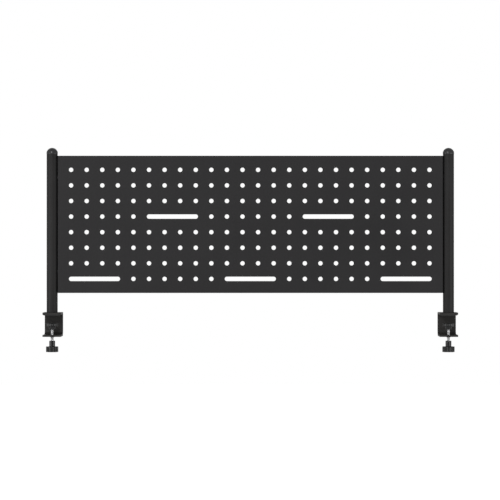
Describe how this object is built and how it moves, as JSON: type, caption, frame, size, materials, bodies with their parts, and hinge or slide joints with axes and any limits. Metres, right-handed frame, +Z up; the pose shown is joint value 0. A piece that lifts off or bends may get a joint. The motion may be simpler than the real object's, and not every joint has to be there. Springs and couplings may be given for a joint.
{
  "type": "clamp-on desk pegboard",
  "caption": "Black perforated steel panel held between two round posts, each on a C-clamp with a knobbed thumb screw that grips a desk edge.",
  "frame": {"origin": "midway between the two clamps, in the plane of the post axes, at the height of the desk top's upper face, where the jaw pads rest", "axes": "+X to the right and +Y away from someone who faces the panel, +Z up; the desk enters the clamps from -Y"},
  "size_m": [0.6772, 0.045, 0.3334],
  "materials": {
    "panel_coat": "satin fine-texture powder coat",
    "post_coat": "satin fine-texture powder coat",
    "clamp_coat": "satin fine-texture powder coat",
    "cap_plastic": "matte moulded",
    "knob_plastic": "matte moulded",
    "pad_plastic": "matte moulded",
    "jaw_rubber": "matte",
    "zinc_steel": "bright zinc plate",
    "black_screws": "black oxide"
  },
  "bodies": {
    "frame": {"panel": "panel_coat", "post_left": "post_coat", "cap_left": "cap_plastic", "post_plug_left": "zinc_steel", "post_bolt_left": "zinc_steel", "rivet_nuts_left": "black_screws", "panel_screws_left": "black_screws", "bracket_left": "clamp_coat", "jaw_pad_left": "jaw_rubber", "post_right": "post_coat", "cap_right": "cap_plastic", "post_plug_right": "zinc_steel", "post_bolt_right": "zinc_steel", "rivet_nuts_right": "black_screws", "panel_screws_right": "black_screws", "bracket_right": "clamp_coat", "jaw_pad_right": "jaw_rubber"},
    "left_foot": {"pressure_pad_left": "pad_plastic"},
    "left_screw": {"clamp_screw_left": "zinc_steel", "knob_left": "knob_plastic"},
    "right_foot": {"pressure_pad_right": "pad_plastic"},
    "right_screw": {"clamp_screw_right": "zinc_steel", "knob_right": "knob_plastic"}
  },
  "joints": [
    {"name": "left_foot_slide", "type": "slide", "parent": "frame", "child": "left_foot", "axis": [0, 0, 1], "range_m": [-0.0083, 0.0054]},
    {"name": "left_screw_turn", "type": "hinge", "parent": "left_foot", "child": "left_screw", "pos_m": [-0.3236, 0, 0], "axis": [0, 0, 1], "range_deg": [-3750, 2440]},
    {"name": "right_foot_slide", "type": "slide", "parent": "frame", "child": "right_foot", "axis": [0, 0, 1], "range_m": [-0.0083, 0.0054]},
    {"name": "right_screw_turn", "type": "hinge", "parent": "right_foot", "child": "right_screw", "pos_m": [0.3236, 0, 0], "axis": [0, 0, 1], "range_deg": [-3750, 2440]}
  ],
  "couplings": [
    {"joint": "left_screw_turn", "follows": "left_foot_slide", "rad_per_m": 7854},
    {"joint": "right_screw_turn", "follows": "right_foot_slide", "rad_per_m": 7854}
  ]
}
